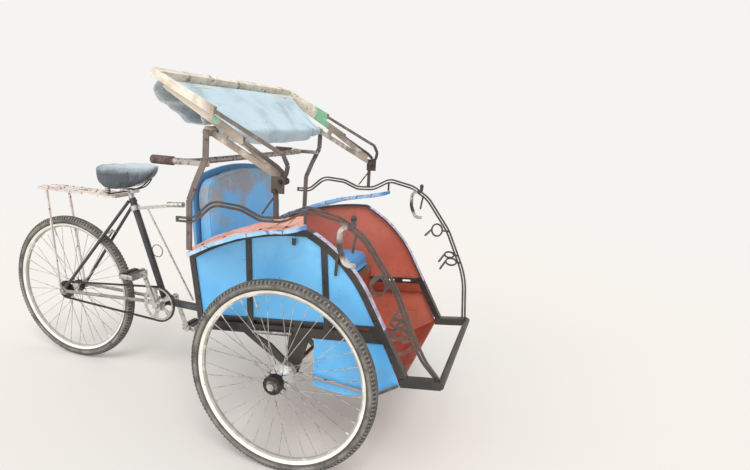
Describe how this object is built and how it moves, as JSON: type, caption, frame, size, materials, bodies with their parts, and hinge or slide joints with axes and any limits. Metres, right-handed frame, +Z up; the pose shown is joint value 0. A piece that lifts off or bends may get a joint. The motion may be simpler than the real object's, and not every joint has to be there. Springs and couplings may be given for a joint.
{
  "type": "cycle rickshaw",
  "caption": "Cycle rickshaw with a passenger carriage on two spoked wheels, folded hood bows, railings, and a pedal-driven steered bicycle rear end.",
  "frame": {"origin": "on the ground, under the middle of the whole length, in the middle plane", "axes": "+X forward, the way the passengers face; +Y to their left; +Z up"},
  "size_m": [2.2459, 0.9306, 1.3657],
  "materials": {
    "tyre": "worn black rubber",
    "cream_paint": "chipped cream paint on steel",
    "black_steel": "black paint with rust",
    "blue_paint": "sky blue paint outside, brick red inside",
    "pink_paint": "faded salmon paint with a blue edge",
    "red_paint": "brick red paint",
    "bare_steel": "dull bare steel",
    "dark_steel": "oiled dark steel",
    "board": "old board",
    "blue_vinyl": "blue vinyl worn grey",
    "saddle_vinyl": "grey-black vinyl",
    "tarp": "light blue-grey tarpaulin",
    "grip": "black rubber"
  },
  "bodies": {
    "carriage": {"chassis": "black_steel", "side_frame_left": "black_steel", "side_frame_right": "black_steel", "side_panel_left": "blue_paint", "side_panel_right": "blue_paint", "armrest_left": "pink_paint", "armrest_right": "pink_paint", "railing_left": "black_steel", "railing_right": "black_steel", "axle_hanger_left": "black_steel", "axle_hanger_right": "black_steel", "front_axle": "bare_steel", "footwell_floor": "red_paint", "footwell_cheek_left": "blue_paint", "footwell_cheek_right": "blue_paint", "footwell_back": "red_paint", "step_bar": "black_steel", "seat_deck": "board", "seat_cushion": "blue_vinyl", "back_board": "board", "back_cushion": "blue_vinyl", "hood_post_left": "black_steel", "hood_post_right": "black_steel", "hood_pivot_left": "black_steel", "hood_pivot_right": "black_steel", "hood_rear_bow": "black_steel", "handlebar": "bare_steel", "handlebar_grips": "grip"},
    "wheel_right": {"front_wheel_right": "cream_paint", "front_tyre_right": "tyre"},
    "wheel_left": {"front_wheel_left": "cream_paint", "front_tyre_left": "tyre"},
    "hood_middle": {"hood_middle_bow": "black_steel", "hood_cloth_rear": "tarp", "hood_cloth_front": "tarp"},
    "hood_front": {"hood_front_bow": "black_steel"},
    "rear_end": {"rear_frame": "black_steel", "chain_stay_left": "black_steel", "chain_stay_right": "black_steel", "seat_stay_left": "black_steel", "seat_stay_right": "black_steel", "rear_axle": "bare_steel", "seat_post": "bare_steel", "saddle": "saddle_vinyl", "rear_carrier": "cream_paint", "brake_lever": "bare_steel", "chain": "dark_steel"},
    "rear_wheel": {"rear_wheel": "cream_paint", "rear_tyre": "tyre", "rear_sprocket": "dark_steel"},
    "cranks": {"crank_set": "bare_steel"},
    "pedal_right": {"pedal_right": "grip"},
    "pedal_left": {"pedal_left": "grip"}
  },
  "joints": [
    {"name": "front_wheel_right_spin", "type": "hinge", "parent": "carriage", "child": "wheel_right", "pos_m": [0.57, -0.397, 0.355], "axis": [0, 1, 0], "continuous": true},
    {"name": "front_wheel_left_spin", "type": "hinge", "parent": "carriage", "child": "wheel_left", "pos_m": [0.57, 0.397, 0.355], "axis": [0, 1, 0], "continuous": true},
    {"name": "steering", "type": "hinge", "parent": "carriage", "child": "rear_end", "pos_m": [-0.03, 0, 0.38], "axis": [0, 0, 1], "range_deg": [-45, 45]},
    {"name": "rear_wheel_spin", "type": "hinge", "parent": "rear_end", "child": "rear_wheel", "pos_m": [-0.768, 0, 0.355], "axis": [0, 1, 0], "continuous": true},
    {"name": "crank_spin", "type": "hinge", "parent": "rear_end", "child": "cranks", "pos_m": [-0.23, 0, 0.372], "axis": [0, 1, 0], "continuous": true},
    {"name": "pedal_right_spin", "type": "hinge", "parent": "cranks", "child": "pedal_right", "pos_m": [-0.28913, -0.12, 0.52604], "axis": [0, 1, 0], "continuous": true},
    {"name": "pedal_left_spin", "type": "hinge", "parent": "cranks", "child": "pedal_left", "pos_m": [-0.17087, 0.12, 0.21796], "axis": [0, 1, 0], "continuous": true},
    {"name": "hood_middle_fold", "type": "hinge", "parent": "carriage", "child": "hood_middle", "pos_m": [0.592, 0, 1.042], "axis": [0, 1, 0], "range_deg": [0, 50]},
    {"name": "hood_front_fold", "type": "hinge", "parent": "hood_middle", "child": "hood_front", "pos_m": [0.592, 0, 1.042], "axis": [0, 1, 0], "range_deg": [0, 50]}
  ],
  "couplings": [
    {"joint": "hood_front_fold", "follows": "hood_middle_fold", "ratio": 1}
  ]
}
